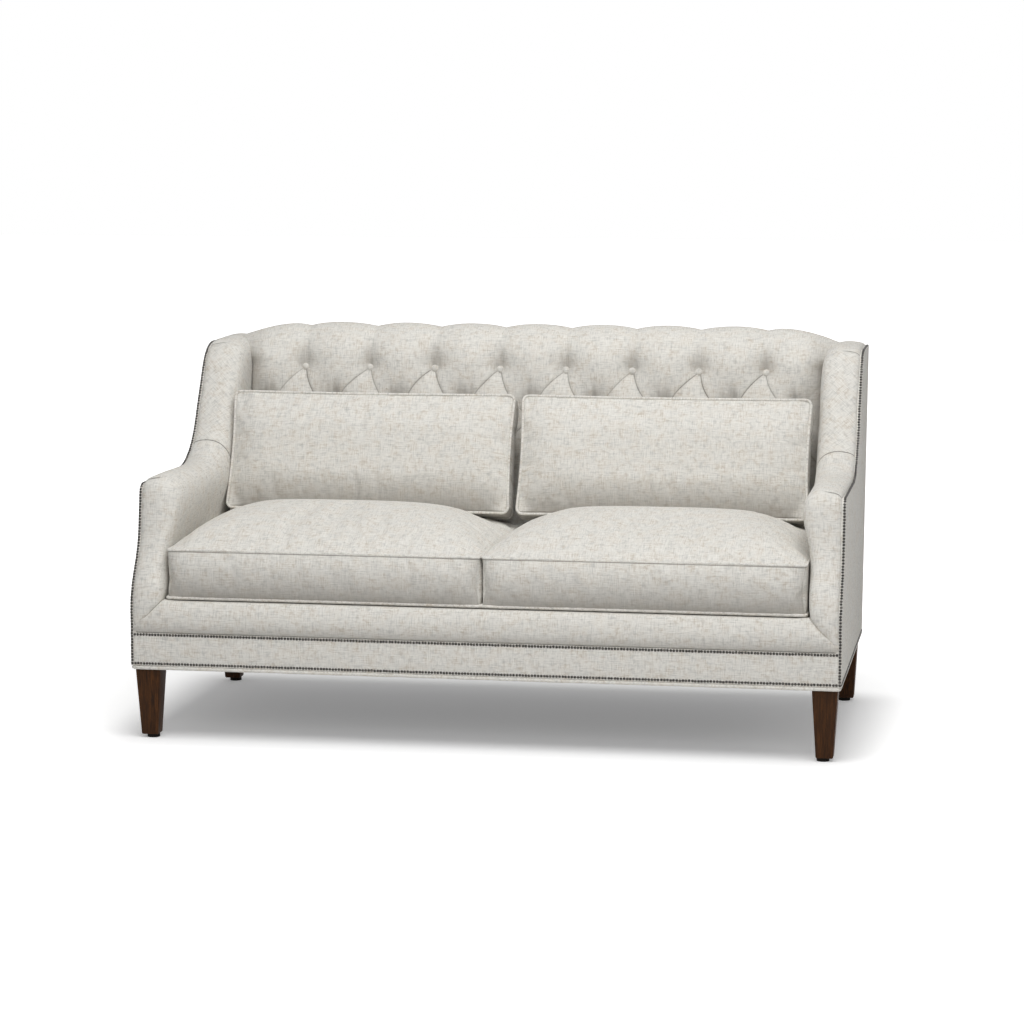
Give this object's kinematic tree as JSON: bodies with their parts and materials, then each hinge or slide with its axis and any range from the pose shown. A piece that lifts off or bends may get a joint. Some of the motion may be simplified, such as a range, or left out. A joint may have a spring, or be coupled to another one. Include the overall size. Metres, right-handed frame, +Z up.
{
  "type": "settee",
  "caption": "Upholstered settee with stepped wing arms, deep-buttoned back, loose welted seat cushions and lumbar pillows, nail-head trim and tapered wooden legs.",
  "frame": {"origin": "on the floor under the middle of the settee's overall box", "axes": "+X to the right as seen from the front, +Y to the back, +Z up; the settee faces -Y"},
  "size_m": [1.6852, 0.9311, 0.9502],
  "materials": {
    "upholstery": "oatmeal linen tweed",
    "deck_cloth": "plain lining cloth",
    "webbing": "woven strap",
    "dust_cloth": "thin black cloth",
    "timber": "sawn hardwood",
    "leg_wood": "dark walnut stain, satin",
    "nail_metal": "dark pewter",
    "spring_steel": "drawn wire and stamped plate",
    "glide": "moulded",
    "foam": "open-cell foam"
  },
  "bodies": {
    "body": {"arm_nails_left": "nail_metal", "arm_nails_right": "nail_metal", "arm_pad_left": "upholstery", "arm_pad_right": "upholstery", "arm_post_left": "timber", "arm_post_right": "timber", "arm_rail_left": "timber", "arm_rail_right": "timber", "back_buttons": "upholstery", "back_centre_post": "timber", "back_lower_rail": "timber", "back_post_left": "timber", "back_post_right": "timber", "back_rail": "timber", "back_top_rail": "timber", "back_webbing": "webbing", "base_welt": "upholstery", "centre_rail": "timber", "corner_blocks": "timber", "dust_cover": "dust_cloth", "front_border": "upholstery", "front_nails": "nail_metal", "front_post_left": "timber", "front_post_right": "timber", "front_rail": "timber", "hanger_bolts": "spring_steel", "leg_front_left": "leg_wood", "leg_front_right": "leg_wood", "leg_glides": "glide", "leg_plates": "spring_steel", "leg_rear_left": "leg_wood", "leg_rear_right": "leg_wood", "lower_band": "upholstery", "outer_panel_left": "upholstery", "outer_panel_right": "upholstery", "outside_back": "upholstery", "seat_deck": "deck_cloth", "seat_springs": "spring_steel", "side_board_left": "timber", "side_board_right": "timber", "side_nails_left": "nail_metal", "side_nails_right": "nail_metal", "side_rail_left": "timber", "side_rail_right": "timber", "spring_clips": "spring_steel", "tie_wires": "spring_steel", "tufted_back": "upholstery"},
    "seat_cushion_left": {"seat_cushion_left": "upholstery", "seat_cushion_core_left": "foam", "seat_cushion_welts_left": "upholstery"},
    "lumbar_pillow_left": {"lumbar_pillow_left": "upholstery", "pillow_welts_left": "upholstery"},
    "seat_cushion_right": {"seat_cushion_right": "upholstery", "seat_cushion_core_right": "foam", "seat_cushion_welts_right": "upholstery"},
    "lumbar_pillow_right": {"lumbar_pillow_right": "upholstery", "pillow_welts_right": "upholstery"}
  },
  "joints": [
    {"name": "seat_cushion_left_out", "type": "slide", "parent": "body", "child": "seat_cushion_left", "axis": [0, -1, 0], "range_m": [0, 0.3]},
    {"name": "seat_cushion_right_out", "type": "slide", "parent": "body", "child": "seat_cushion_right", "axis": [0, -1, 0], "range_m": [0, 0.3]},
    {"name": "lumbar_pillow_left_up", "type": "slide", "parent": "body", "child": "lumbar_pillow_left", "axis": [0, 0, 1], "range_m": [0, 0.35]},
    {"name": "lumbar_pillow_right_up", "type": "slide", "parent": "body", "child": "lumbar_pillow_right", "axis": [0, 0, 1], "range_m": [0, 0.35]}
  ]
}
